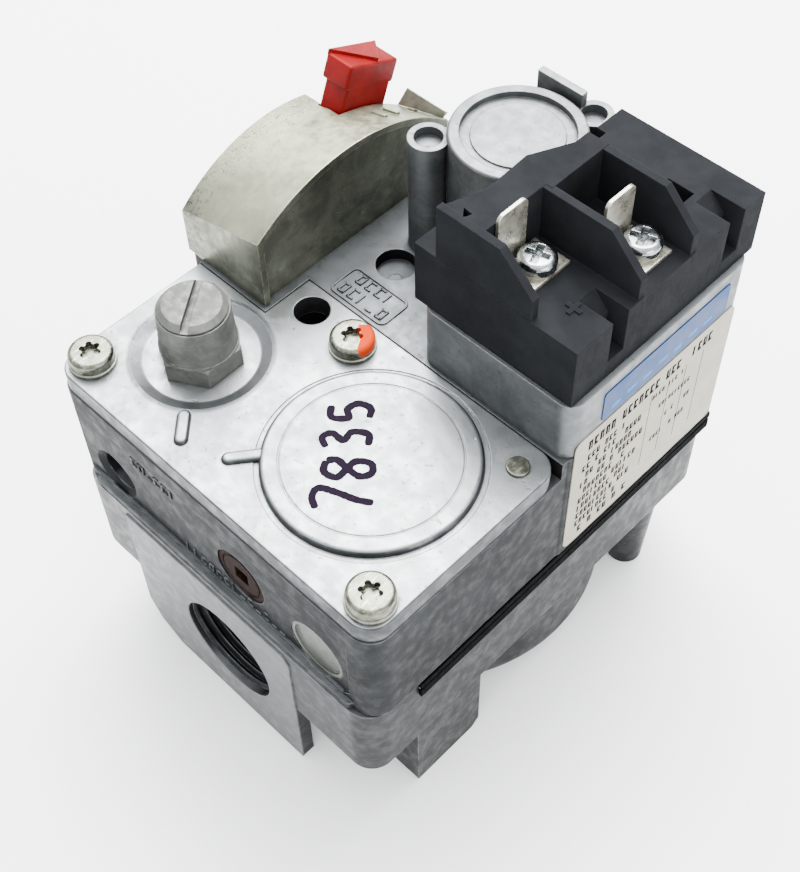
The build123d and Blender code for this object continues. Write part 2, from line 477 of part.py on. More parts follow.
# ---- electric operator ----
house = slab(*HOUSING, 3.5)
house -= slab(54.4, 87.9, 54.0, 103.1, TOP_Z + 2, 60, 2.0)
house += box(53, 56.5, 70, 103.1, TOP_Z, 49.1) & slab(*HOUSING, 3.5)
house += slab(*HOUSING, 3.5) & cyl(CAN_X, CAN_Y, 16.6, TOP_Z, 49.1)
house -= cyl(CAN_X, CAN_Y, 14.6, TOP_Z - 1, 50)
house -= cyl(EARS[1][0], EARS[1][1], 4.3, TOP_Z - 1, 50)
house -= cyl(COIL_X, COIL_Y, 4.8, TOP_Z - 1, 40)
for sx, sy in HOUSING_SCREWS:
    house -= cyl(sx, sy, 2.0, TOP_Z - 1, 40)
add("operator_housing", house)
add("housing_screws", *[cyl(sx, sy, 1.9, 25.5, 35.5) + (cyl(sx, sy, 3.3, 35.4, 37.8)
                        - star(sx, sy, 1.6, 1.1, 36.6, 39)) for sx, sy in HOUSING_SCREWS])

yoke = box(COIL_X - 11.7, COIL_X + 11.7, 72, 86, 35.4, 53.9)
yoke -= box(COIL_X - 10.4, COIL_X + 10.4, 71, 87, 36.9, 52.4)
yoke -= cyl(COIL_X, COIL_Y, 4.4, 30, 40)
yoke += cyl(COIL_X, COIL_Y, 4.0, 46.1, 53)
add("solenoid_yoke", yoke)
bobbin = ring(COIL_X, COIL_Y, 4.2, 5.2, 36.9, 52.4)
bobbin += ring(COIL_X, COIL_Y, 4.2, COIL_R, 36.9, 38.0) + ring(COIL_X, COIL_Y, 4.2, COIL_R, 51.3, 52.4)
add("solenoid_bobbin", bobbin)
add("solenoid_coil", ring(COIL_X, COIL_Y, 5.2, COIL_R - 0.6, 38.0, 51.3))
plunger = cyl(COIL_X, COIL_Y, 4.15, 29.2, 44.5) - cyl(COIL_X, COIL_Y, 2.7, 38.0, 45)
add("solenoid_plunger", plunger)
add("plunger_tip", cyl(COIL_X, COIL_Y, 3.0, 27.8, 29.2))
add("plunger_spring", spring(COIL_X, COIL_Y, 2.1, 0.6, 38.0, 46.1, 5))

# ---- terminal block ----
block = box(*BLOCK)
back = prism([(55.4, 52.6), (58.7, 61.9), (58.1, 73.4), (62.2, 82.1), (62.2, 85.9), (67.0, 85.9),
              (67.0, 70.2), (65.5, 70.2), (65.5, 52.6)], BLOCK[5] - 1, BACK_TOP)
block += back
block += prism_y([(55.4, 60), (55.4, 76.6), (70.4, 76.6), (78.4, 69.2), (78.4, 60)], 52.5,
                 52.5 + FIN_T)
for fin_y in (69.3, 84.2):
    block += prism_y([(64.5, 60), (64.5, 76.3), (81.3, 76.3), (88.8, 69), (88.8, 60)], fin_y,
                     fin_y + FIN_T)
block -= box(53, 86, 56, 104, 48, 55.1)
block -= cyl(CAN_X, CAN_Y, 14.6, 40, 90)
block -= box(40, 54.5, 99.3, 120, 40, 90)
block -= box(40, 56.8, 94.0, 99.4, 40, 90)
block -= box(40, 51.5, 74.0, 80.0, 40, 90)
for slot_y0, slot_y1 in [(62.0, 66.5), (95.9, 100.7)]:
    block -= box(84.6, 95, slot_y0, slot_y1, 53.5, 70)
    block -= prism_y([(80.6, 64.6), (85, 60.0), (85, 64.6)], slot_y0, slot_y1)
block -= box(73.5, 79.6, 93.6, 97.6, 58, 70)
block -= prism([(58.9, 55.9), (61.1, 55.7), (60.5, 53.9)], 72, 90)
for length, width in [(3.4, 0.9), (0.9, 3.4)]:
    block += Pos(81.8, 60.0, BLOCK[5]) * Box(length, width, 0.7)
for tx, ty, px0, px1, py0, py1, ty0, ty1, ttop in TERMINALS:
    block -= cyl(tx, ty, 1.80, 56.2, 70)
add("terminal_block", block)

for index, (tx, ty, px0, px1, py0, py1, ty0, ty1, ttop) in enumerate(TERMINALS, start=1):
    tab = box(px0, px1, py0, py1, 64.1, 64.9)
    blade = box(px0, px0 + 0.7, ty0, ty1, 64.1, ttop)
    blade = round_edges(blade, [e for e in blade.edges().filter_by(Axis.X) if e.center().Z > 70], 1.5)
    tab += blade
    tab -= cyl(tx, ty, 2.1, 60, 70)
    add("terminal_plate_" + str(index), tab)
    add("terminal_washer_" + str(index), ring(tx, ty, 1.95, 3.7, 64.9, 65.6))
    pan = cyl(tx, ty, 3.85, 65.6, 68.0)
    pan = round_edges(pan, edges_at(pan, 68.0), 1.3)
    for turn in (20, 110):
        pan -= Pos(tx, ty, 67.6) * Rot(0, 0, turn) * Box(4.8, 1.35, 1.8)
    add("terminal_screw_" + str(index), pan + cyl(tx, ty, 1.75, 57.0, 65.7))

# ---- body screws and labels ----
add("body_screws", *[cyl(sx, sy, 2.4, FLANGE_Z, 9.5) + (hexagon(sx, sy, 7.0, FLANGE_Z - 3.4, FLANGE_Z)
                     + cyl(sx, sy, 4.2, FLANGE_Z - 0.8, FLANGE_Z)) for sx, sy in BODY_SCREWS])
label = RectangleRounded(49.7, 36.0, 2.0)
add("data_label", Pos(90.3, 78.65, 19.0) * Rot(0, 0, 90) * Rot(90, 0, 0) * extrude(label, 0.2))
stripe = RectangleRounded(38.6, 8.2, 0.8)
add("label_band", Pos(90.3, 80.3, 42.0) * Rot(0, 0, 90) * Rot(90, 0, 0) * extrude(stripe, 0.2))

# ---- move to the resting frame and write the files ----
bounds = [solid.bounding_box() for solids in parts.values() for solid in solids]
mid_x = (min(b.min.X for b in bounds) + max(b.max.X for b in bounds)) / 2
mid_y = (min(b.min.Y for b in bounds) + max(b.max.Y for b in bounds)) / 2
low_z = min(b.min.Z for b in bounds)
print("moved by", round(-mid_x, 4), round(-mid_y, 4), round(-low_z, 4), "parts", len(parts))
os.makedirs("parts", exist_ok=True)
for name, solids in parts.items():
    moved = [Pos(-mid_x, -mid_y, -low_z) * solid for solid in solids]
    export_step(moved[0] if len(moved) == 1 else Compound(moved), "parts/" + name + ".step")
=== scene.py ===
import json
import math
import random

import bmesh
import bpy
from mathutils import Matrix, Vector


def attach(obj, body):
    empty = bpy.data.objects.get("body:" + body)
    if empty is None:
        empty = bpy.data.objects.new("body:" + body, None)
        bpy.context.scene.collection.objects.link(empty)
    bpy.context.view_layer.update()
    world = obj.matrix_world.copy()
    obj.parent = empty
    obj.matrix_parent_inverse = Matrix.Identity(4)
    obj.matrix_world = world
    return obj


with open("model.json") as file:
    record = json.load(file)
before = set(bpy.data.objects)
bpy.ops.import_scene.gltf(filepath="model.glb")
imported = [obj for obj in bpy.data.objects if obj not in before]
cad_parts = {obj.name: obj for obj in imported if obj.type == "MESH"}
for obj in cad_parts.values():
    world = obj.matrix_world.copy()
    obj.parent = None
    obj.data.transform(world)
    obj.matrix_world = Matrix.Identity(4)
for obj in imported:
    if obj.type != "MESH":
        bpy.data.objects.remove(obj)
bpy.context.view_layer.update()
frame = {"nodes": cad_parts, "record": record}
random.seed(7)
nodes = frame["nodes"]

# The CAD's casting frame (mm) is moved by this to the row frame.
SHIFT = Vector((-43.0, -53.6, 48.0))
TOP = 33.4
# Axis of the dish round the regulator, in the plan of the row frame (mm).
DISH = (-23.7, -31.4)
# Axis of the middle cover screw, in the same plan.
MIDDLE_SCREW = (-2.8, -9.2)


def at(x, y, z):
    """A point of the casting frame, in metres in the row frame."""
    return (Vector((x, y, z)) + SHIFT) / 1000.0


# ---------------------------------------------------------------- camera
def make_camera():
    azimuth, elevation, roll = math.radians(45.87), math.radians(52.96), math.radians(-1.85)
    forward = Vector((-math.sin(azimuth) * math.cos(elevation),
                      math.cos(azimuth) * math.cos(elevation), -math.sin(elevation)))
    level = Vector((math.cos(azimuth), math.sin(azimuth), 0.0))
    over = level.cross(forward)
    right = math.cos(roll) * level + math.sin(roll) * over
    up = math.cos(roll) * over - math.sin(roll) * level
    turn = Matrix((right, up, -forward)).transposed().to_4x4()
    data = bpy.data.cameras.new("camera")
    data.sensor_width = 36.0
    data.lens = 1433.0 / 872.0 * 36.0
    data.shift_x = 0.0044
    data.shift_y = -0.0141
    data.clip_start, data.clip_end = 0.01, 10.0
    camera = bpy.data.objects.new("camera", data)
    camera.matrix_world = Matrix.Translation(at(179.76, -79.53, 254.1)) @ turn
    bpy.context.scene.collection.objects.link(camera)
    bpy.context.scene.camera = camera


make_camera()


# ---------------------------------------------------------------- materials
class Graph:
    """Short helpers for building one node material."""

    def __init__(self, name):
        self.material = bpy.data.materials.new(name)
        self.material.use_nodes = True
        self.tree = self.material.node_tree
        self.shader = self.tree.nodes["Principled BSDF"]
        coord = self.tree.nodes.new("ShaderNodeTexCoord")
        scale = self.tree.nodes.new("ShaderNodeVectorMath")
        scale.operation = "SCALE"
        scale.inputs["Scale"].default_value = 1000.0
        self.tree.links.new(coord.outputs["Object"], scale.inputs[0])
        self.mm = scale.outputs[0]

    @classmethod
    def reopen(cls, material):
        graph = cls.__new__(cls)
        graph.material = material
        graph.tree = material.node_tree
        graph.shader = graph.tree.nodes["Principled BSDF"]
        scale = [n for n in graph.tree.nodes if n.bl_idname == "ShaderNodeVectorMath"
                 and n.operation == "SCALE"][0]
        graph.mm = scale.outputs[0]
        return graph

    def put(self, socket, value):
        if isinstance(value, bpy.types.NodeSocket):
            self.tree.links.new(value, socket)
        elif isinstance(value, (tuple, list)) and len(value) == 3 and socket.type == "RGBA":
            socket.default_value = (*value, 1.0)
        else:
            socket.default_value = value

    def noise(self, scale, detail=4.0, rough=0.6, stretch=None, distort=0.0, offset=0.0):
        node = self.tree.nodes.new("ShaderNodeTexNoise")
        vector = self.mm
        if stretch or offset:
            mapping = self.tree.nodes.new("ShaderNodeMapping")
            mapping.inputs["Scale"].default_value = stretch or (1, 1, 1)
            mapping.inputs["Location"].default_value = (offset, offset * 0.7, -offset)
            self.tree.links.new(vector, mapping.inputs["Vector"])
            vector = mapping.outputs[0]
        self.tree.links.new(vector, node.inputs["Vector"])
        node.inputs["Scale"].default_value = scale
        node.inputs["Detail"].default_value = detail
        node.inputs["Roughness"].default_value = rough
        node.inputs["Distortion"].default_value = distort
        return node.outputs["Fac"]

    def ramp(self, value, low, high, to_low=0.0, to_high=1.0):
        node = self.tree.nodes.new("ShaderNodeMapRange")
        node.interpolation_type = "SMOOTHSTEP"
        self.put(node.inputs["Value"], value)
        node.inputs["From Min"].default_value = low
        node.inputs["From Max"].default_value = high
        node.inputs["To Min"].default_value = to_low
        node.inputs["To Max"].default_value = to_high
        return node.outputs["Result"]

    def math(self, operation, a, b=0.0, clamp=False):
        node = self.tree.nodes.new("ShaderNodeMath")
        node.operation = operation
        node.use_clamp = clamp
        self.put(node.inputs[0], a)
        self.put(node.inputs[1], b)
        return node.outputs[0]

    def mix(self, factor, a, b):
        node = self.tree.nodes.new("ShaderNodeMix")
        node.data_type = "RGBA"
        node.clamp_factor = True
        self.put(node.inputs["Factor"], factor)
        colour_a = [s for s in node.inputs if s.name == "A" and s.type == "RGBA"][0]
        colour_b = [s for s in node.inputs if s.name == "B" and s.type == "RGBA"][0]
        self.put(colour_a, a)
        self.put(colour_b, b)
        return [s for s in node.outputs if s.type == "RGBA"][0]

    def axis(self, index):
        node = self.tree.nodes.new("ShaderNodeSeparateXYZ")
        self.tree.links.new(self.mm, node.inputs[0])
        return node.outputs[index]

    def normal(self, index):
        geometry = self.tree.nodes.new("ShaderNodeNewGeometry")
        node = self.tree.nodes.new("ShaderNodeSeparateXYZ")
        self.tree.links.new(geometry.outputs["Normal"], node.inputs[0])
        return node.outputs[index]

    def distance(self, x, y):
        """Distance in the plan, in mm, from an upright axis."""
        away_x = self.math("SUBTRACT", self.axis(0), x)
        away_y = self.math("SUBTRACT", self.axis(1), y)
        square = self.math("ADD", self.math("MULTIPLY", away_x, away_x),
                           self.math("MULTIPLY", away_y, away_y))
        return self.math("SQRT", square)

    def edges(self, radius):
        """(rounded normal, mask that is 1 on convex and concave edges)"""
        bevel = self.tree.nodes.new("ShaderNodeBevel")
        bevel.samples = 6
        bevel.inputs["Radius"].default_value = radius / 1000.0
        geometry = self.tree.nodes.new("ShaderNodeNewGeometry")
        dot = self.tree.nodes.new("ShaderNodeVectorMath")
        dot.operation = "DOT_PRODUCT"
        self.tree.links.new(bevel.outputs[0], dot.inputs[0])
        self.tree.links.new(geometry.outputs["Normal"], dot.inputs[1])
        return bevel.outputs[0], self.ramp(dot.outputs["Value"], 0.995, 0.90)

    def crevice(self, distance):
        occlusion = self.tree.nodes.new("ShaderNodeAmbientOcclusion")
        occlusion.samples = 6
        occlusion.inputs["Distance"].default_value = distance / 1000.0
        return self.ramp(occlusion.outputs["AO"], 0.75, 0.25)

    def bump(self, height, strength, distance, normal=None):
        node = self.tree.nodes.new("ShaderNodeBump")
        node.inputs["Strength"].default_value = strength
        node.inputs["Distance"].default_value = distance / 1000.0
        self.put(node.inputs["Height"], height)
        if normal is not None:
            self.tree.links.new(normal, node.inputs["Normal"])
        return node.outputs["Normal"]

    def finish(self, colour, rough, metal, normal, **extra):
        self.put(self.shader.inputs["Base Color"], colour)
        self.put(self.shader.inputs["Roughness"], rough)
        self.put(self.shader.inputs["Metallic"], metal)
        if normal is not None:
            self.tree.links.new(normal, self.shader.inputs["Normal"])
        for key, value in extra.items():
            self.put(self.shader.inputs[key.replace("_", " ")], value)
        return self.material


def cast_metal(name, base, dark, bright, grime_and_shade, rough=0.42, metal=0.85, patch=0.09, grain=0.6,
               edge=0.35, pitting=0.0, top_painted_light=0.0, grime_level=0.62, corrosion=False,
               mottle=0.10, rings=(), machined=False, glance=0.85):
    """Die-cast alloy: cloudy oxide patches, fine grain, flow streaks, dirt smudges, painted light on
    the upward faces, and painted shade with dirt in the corners.
    """
    g = Graph(name)
    cloud = g.noise(patch, 6.0, 0.62, distort=0.6)
    fine = g.noise(patch * 4.0, 4.0, 0.55, offset=11.0)
    flow = g.noise(0.16, 4.0, 0.6, stretch=(1.0, 0.35, 2.2), offset=31.0, distort=1.2)
    sand = g.noise(grain * 4.0, 3.0, 0.7, offset=5.0)
    colour = g.mix(g.ramp(cloud, 0.36, 0.66), dark, base)
    colour = g.mix(g.math("MULTIPLY", g.ramp(fine, 0.42, 0.80), mottle), colour, bright)
    colour = g.mix(g.math("MULTIPLY", g.ramp(flow, 0.52, 0.72), 0.35), colour, dark)
    # painted light: faces that point upwards are lightened towards the bright colour, as if lit from
    # above
    if top_painted_light:
        up = g.math("MULTIPLY", g.ramp(g.normal(2), 0.7, 0.98), top_painted_light)
        dull = g.ramp(g.noise(0.045, 5.0, 0.65, offset=57.0, distort=0.8), 0.36, 0.60, 0.66, 1.0)
        colour = g.mix(g.math("MULTIPLY", up, dull), colour, bright)
    if machined:
        # the port faces are cut bright
        face = g.ramp(g.math("ABSOLUTE", g.axis(1)), 55.3, 55.6)
        colour = g.mix(g.math("MULTIPLY", face, 0.45), colour, bright)
    smudge = g.ramp(g.noise(0.05, 4.0, 0.7, offset=71.0), grime_level, grime_level + 0.16)
    colour = g.mix(g.math("MULTIPLY", smudge, 0.55), colour, grime_and_shade)
    for ring_x, ring_y, inner, outer, depth in rings:
        # shade that gathers on the slope of a round dish or groove
        away = g.distance(ring_x, ring_y)
        band = g.math("MULTIPLY", g.ramp(away, inner, inner + 0.9),
                      g.ramp(away, outer, outer - 0.7))
        colour = g.mix(g.math("MULTIPLY", band, depth), colour, dark)
    rounded, edge_mask = g.edges(edge)
    worn = g.math("MULTIPLY", edge_mask, g.ramp(fine, 0.30, 0.62))
    # painted shade with dirt: ambient occlusion darkens corners, recesses and gaps between parts
    # towards the dark dirt colour
    shade_in_hollows = g.crevice(2.2)
    colour = g.mix(g.math("MULTIPLY", worn, 0.55), colour, bright)
    colour = g.mix(g.math("MULTIPLY", shade_in_hollows, 0.70), colour, grime_and_shade)
    pits = g.ramp(g.noise(0.8, 3.0, 0.6, offset=41.0), 0.62, 0.74)
    if corrosion:
        # black pitting that thickens toward the cover's outer edge
        toward = g.ramp(g.axis(0), -36.0, -47.0)
        pits = g.math("MULTIPLY", g.ramp(g.noise(0.9, 6.0, 0.8, offset=3.0), 0.50, 0.64), toward)
    colour = g.mix(g.math("MULTIPLY", pits, pitting), colour, grime_and_shade)
    roughness = g.math("ADD", rough, g.ramp(fine, 0.35, 0.75, 0.10, -0.08))
    roughness = g.math("ADD", roughness, g.math("MULTIPLY", shade_in_hollows, 0.25))
    height = g.math("ADD", g.math("MULTIPLY", sand, 0.35), g.math("MULTIPLY", cloud, 0.45))
    height = g.math("SUBTRACT", height, g.math("MULTIPLY", pits, 0.8))
    return g.finish(colour, roughness, metal, g.bump(height, 0.30, 0.18, rounded),
                    Specular_IOR_Level=0.2, Specular_Tint=(glance, glance, glance))


def turned_metal(name, base, dark, bright, grime_and_shade, rough=0.3, metal=1.0, edge=0.25, hollow_shade_mix=0.5,
                 speck=0.0, speck_colour=(0.1, 0.08, 0.03)):
    """Screws, tabs and turned parts: fine scratches, rubbed edges, painted shade with dirt in the
    corners.
    """
    g = Graph(name)
    cloud = g.noise(0.45, 5.0, 0.65)
    scratch = g.noise(2.6, 4.0, 0.6, stretch=(1.0, 0.12, 1.0), offset=9.0)
    colour = g.mix(g.ramp(cloud, 0.35, 0.68), dark, base)
    colour = g.mix(g.math("MULTIPLY", g.ramp(scratch, 0.55, 0.70), 0.5), colour, bright)
    rounded, edge_mask = g.edges(edge)
    # painted shade with dirt: ambient occlusion darkens the corners towards the dark dirt colour
    shade_in_hollows = g.crevice(1.2)
    colour = g.mix(g.math("MULTIPLY", edge_mask, 0.6), colour, bright)
    colour = g.mix(g.math("MULTIPLY", shade_in_hollows, hollow_shade_mix), colour, grime_and_shade)
    if speck:
        flecks = g.ramp(g.noise(1.5, 5.0, 0.75, offset=23.0), 0.60, 0.72)
        colour = g.mix(g.math("MULTIPLY", flecks, speck), colour, speck_colour)
    roughness = g.math("ADD", rough, g.ramp(cloud, 0.3, 0.7, -0.06, 0.12))
    height = g.math("ADD", g.math("MULTIPLY", scratch, 0.4), cloud)
    return g.finish(colour, roughness, metal, g.bump(height, 0.25, 0.08, rounded))


def plastic(name, base, dark, light, rough=0.5, edge=0.3, scuff=0.4, grain=2.2, scuff_colour=None,
            specular=0.5):
    """Moulded plastic: faint mottling, scuffs, light-catching worn edges."""
    g = Graph(name)
    cloud = g.noise(0.12, 5.0, 0.6)
    fine = g.noise(grain, 3.0, 0.6, offset=4.0)
    marks = g.noise(0.5, 6.0, 0.75, stretch=(1.0, 1.0, 0.5), offset=17.0, distort=1.5)
    colour = g.mix(g.ramp(cloud, 0.35, 0.68), dark, base)
    rounded, edge_mask = g.edges(edge)
    worn = g.math("MULTIPLY", edge_mask, g.ramp(marks, 0.35, 0.6))
    colour = g.mix(g.math("MULTIPLY", worn, 0.55), colour, light)
    colour = g.mix(g.math("MULTIPLY", g.ramp(marks, 0.60, 0.76), scuff), colour,
                   scuff_colour or light)
    roughness = g.math("ADD", rough, g.ramp(marks, 0.4, 0.7, -0.06, 0.14))
    height = g.math("ADD", g.math("MULTIPLY", fine, 0.3), marks)
    return g.finish(colour, roughness, 0.0, g.bump(height, 0.18, 0.08, rounded),
                    Specular_IOR_Level=specular)


def printed(name, base, dark, stain):
    g = Graph(name)
    cloud = g.noise(0.14, 5.0, 0.65)
    fine = g.noise(3.0, 3.0, 0.6)
    smear = g.noise(0.5, 5.0, 0.7, stretch=(1.0, 1.0, 0.3), offset=3.0)
    colour = g.mix(g.ramp(cloud, 0.35, 0.7), dark, base)
    colour = g.mix(g.math("MULTIPLY", g.ramp(smear, 0.60, 0.78), 0.45), colour, stain)
    height = g.math("ADD", fine, g.math("MULTIPLY", cloud, 3.0))
    return g.finish(colour, g.ramp(cloud, 0.3, 0.7, 0.38, 0.55), 0.0, g.bump(height, 0.1, 0.05),
                    Specular_IOR_Level=0.12)


def rust():
    g = Graph("rusty_steel_look")
    cloud = g.noise(0.9, 6.0, 0.7)
    fine = g.noise(4.0, 4.0, 0.7, offset=8.0)
    colour = g.mix(g.ramp(cloud, 0.35, 0.65), (0.0045, 0.0022, 0.0018), (0.0165, 0.0072, 0.0046))
    colour = g.mix(g.math("MULTIPLY", g.ramp(fine, 0.56, 0.72), 0.3), colour, (0.05, 0.026, 0.018))
    colour = g.mix(g.math("MULTIPLY", g.crevice(1.0), 0.6), colour, (0.02, 0.012, 0.01))
    rounded, _ = g.edges(0.3)
    return g.finish(colour, 0.7, 0.15, g.bump(g.math("ADD", cloud, fine), 0.5, 0.15, rounded),
                    Specular_IOR_Level=0.04)


# Zinc plating: base, dark, bright, and a dark dirt colour that also paints shade into the corners.
ZINC = ((0.20, 0.205, 0.17), (0.085, 0.085, 0.062), (0.55, 0.56, 0.51), (0.010, 0.0085, 0.0035))

LOOK = {
    "cast_alloy": cast_metal("cast_alloy_look", (0.0215, 0.0235, 0.0245), (0.012, 0.0132, 0.0138),
                             (0.20, 0.215, 0.222), (0.003, 0.0033, 0.003), rough=0.46,
                             top_painted_light=0.62, pitting=0.25, mottle=0.045, glance=0.66),
    "cover_alloy": cast_metal("cover_alloy_look", (0.062, 0.067, 0.070), (0.032, 0.035, 0.037),
                              (0.37, 0.392, 0.40), (0.014, 0.014, 0.010), rough=0.36, patch=0.07,
                              top_painted_light=0.66, pitting=0.3, mottle=0.2,
                              rings=((*DISH, 11.6, 15.2, 0.70), (*DISH, 14.2, 15.6, 0.55))),
    "arch_plating": cast_metal("arch_plating_look", (0.200, 0.205, 0.160), (0.105, 0.108, 0.084),
                               (0.52, 0.53, 0.37), (0.004, 0.0035, 0.002), rough=0.34,
                               patch=0.12, pitting=0.96, grime_level=0.60, top_painted_light=0.64,
                               corrosion=True, mottle=0.16),
    "tower_alloy": cast_metal("tower_alloy_look", (0.150, 0.155, 0.142), (0.095, 0.098, 0.090),
                              (0.26, 0.265, 0.25), (0.008, 0.008, 0.006), rough=0.62,
                              patch=0.16, pitting=0.35, grime_level=0.58, edge=0.25),
    "zinc_steel": turned_metal("zinc_steel_look", *ZINC, rough=0.32, speck=0.6,
                               speck_colour=(0.05, 0.042, 0.015)),
    "plain_steel": turned_metal("plain_steel_look", (0.06, 0.062, 0.064), (0.03, 0.031, 0.032),
                                (0.42, 0.43, 0.44), (0.02, 0.02, 0.02), rough=0.3),
    "bright_screw": turned_metal("bright_screw_look", (0.42, 0.44, 0.45), (0.22, 0.24, 0.25),
                                 (0.75, 0.78, 0.78), (0.02, 0.024, 0.02), rough=0.20,
                                 hollow_shade_mix=0.7),
    "nickel_tab": turned_metal("nickel_tab_look", (0.50, 0.485, 0.41), (0.34, 0.325, 0.26),
                               (0.80, 0.79, 0.70), (0.12, 0.10, 0.06), rough=0.30, metal=0.8,
                               hollow_shade_mix=0.3, speck=0.12, speck_colour=(0.3, 0.22, 0.10)),
    "rusty_steel": rust(),
    "grey_seal": plastic("grey_seal_look", (0.066, 0.071, 0.060), (0.042, 0.046, 0.039),
                         (0.20, 0.20, 0.175), rough=0.45, scuff=0.35,
                         scuff_colour=(0.08, 0.08, 0.066)),
    "brass": turned_metal("brass_look", (0.11, 0.075, 0.03), (0.05, 0.033, 0.012),
                          (0.30, 0.22, 0.10), (0.01, 0.007, 0.003), rough=0.35),
    "rubber": plastic("rubber_look", (0.0012, 0.0012, 0.0015), (0.0007, 0.0007, 0.0009),
                      (0.004, 0.004, 0.005), rough=0.8, scuff=0.10, specular=0.02),
    "black_plastic": plastic("black_plastic_look", (0.0128, 0.0138, 0.0154), (0.0094, 0.0102, 0.0115),
                             (0.028, 0.031, 0.036), rough=0.70, scuff=0.12,
                             scuff_colour=(0.020, 0.0205, 0.021), specular=0.012),
    "red_plastic": plastic("red_plastic_look", (0.17, 0.0006, 0.0012), (0.10, 0.0004, 0.0008),
                           (0.36, 0.008, 0.008), rough=0.45, scuff=0.10,
                           scuff_colour=(0.03, 0.0006, 0.0006), specular=0.10),
    "spring_steel": turned_metal("spring_steel_look", (0.4, 0.41, 0.43), (0.22, 0.22, 0.24),
                                 (0.7, 0.7, 0.72), (0.04, 0.04, 0.04), rough=0.28),
    "copper_winding": plastic("copper_winding_look", (0.42, 0.17, 0.06), (0.25, 0.09, 0.03),
                              (0.7, 0.36, 0.18), rough=0.4),
    "bobbin_plastic": plastic("bobbin_plastic_look", (0.62, 0.60, 0.52), (0.5, 0.48, 0.4),
                              (0.8, 0.78, 0.7), rough=0.5),
    "label_paper": printed("label_paper_look", (0.33, 0.315, 0.25), (0.25, 0.235, 0.18),
                           (0.11, 0.10, 0.065)),
    "blue_film": printed("blue_film_look", (0.0004, 0.040, 0.150), (0.0003, 0.027, 0.108),
                         (0.001, 0.048, 0.16)),
}


def painted_screws():
    """Zinc screws; the middle one carries a patch of orange check paint on one side."""
    look = turned_metal("cover_screws_look", *ZINC, rough=0.32, speck=0.6,
                        speck_colour=(0.05, 0.042, 0.015))
    g = Graph.reopen(look)
    away_x = g.math("SUBTRACT", g.axis(0), MIDDLE_SCREW[0])
    away_y = g.math("SUBTRACT", g.axis(1), MIDDLE_SCREW[1])
    across = g.math("ADD", g.math("MULTIPLY", away_x, 0.70), g.math("MULTIPLY", away_y, 0.71))
    along = g.math("ADD", g.math("MULTIPLY", away_x, -0.72), g.math("MULTIPLY", away_y, 0.70))
    ragged = g.ramp(g.noise(0.8, 3.0, 0.6, offset=13.0), 0.3, 0.7, -0.35, 0.35)
    patch = g.ramp(g.math("ADD", across, ragged), 1.25, 1.5)
    patch = g.math("MULTIPLY", patch, g.ramp(across, 6.0, 5.6))
    patch = g.math("MULTIPLY", patch, g.ramp(g.math("ADD", along, ragged), 2.9, 2.6))
    patch = g.math("MULTIPLY", patch, g.ramp(along, -5.8, -5.2))
    patch = g.math("MULTIPLY", patch, g.ramp(g.axis(2), 82.6, 83.2))
    old_colour = g.shader.inputs["Base Color"].links[0].from_socket
    old_rough = g.shader.inputs["Roughness"].links[0].from_socket
    g.put(g.shader.inputs["Base Color"], g.mix(patch, old_colour, (0.40, 0.030, 0.0012)))
    g.put(g.shader.inputs["Metallic"], g.math("SUBTRACT", 1.0, patch))
    g.put(g.shader.inputs["Specular IOR Level"], g.ramp(patch, 0.0, 1.0, 0.5, 0.03))
    g.put(g.shader.inputs["Roughness"],
          g.math("MAXIMUM", old_rough, g.math("MULTIPLY", patch, 0.4)))
    return look


slots = {s["node"]: s["material_slot"] for s in frame["record"]["subparts"]}
own_look = {
    "cover_screws": painted_screws(),
    "lower_body": cast_metal("lower_casting_look", (0.031, 0.033, 0.034), (0.016, 0.0172, 0.018),
                             (0.26, 0.275, 0.28), (0.003, 0.0033, 0.003), rough=0.42,
                             top_painted_light=0.55, pitting=0.25, mottle=0.05, machined=True,
                             glance=0.80),
    "operator_housing": cast_metal("operator_casting_look", (0.150, 0.161, 0.164),
                                   (0.095, 0.102, 0.104), (0.22, 0.235, 0.24),
                                   (0.004, 0.0045, 0.004), rough=0.42, top_painted_light=0.62,
                                   pitting=0.35),
    "magnet_housing": cast_metal("magnet_casting_look", (0.155, 0.166, 0.168),
                                 (0.095, 0.102, 0.104), (0.24, 0.255, 0.26),
                                 (0.004, 0.0045, 0.004), rough=0.46, top_painted_light=0.35,
                                 pitting=0.35),
}
for name, item in nodes.items():
    item.data.materials.clear()
    item.data.materials.append(own_look.get(name) or LOOK[slots[name]])
    for face in item.data.polygons:
        face.use_smooth = True
    item.data.set_sharp_from_angle(angle=math.radians(28))


# ---------------------------------------------------------------- extra pieces
def finish_piece(name, mesh, look, body="valve_body", smooth=False):
    """Links a finished mesh, gives it its material and lets it ride on a body."""
    piece = bpy.data.objects.new(name, mesh)
    bpy.context.scene.collection.objects.link(piece)
    mesh.materials.append(look)
    for face in mesh.polygons:
        face.use_smooth = smooth
    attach(piece, body)
    return piece


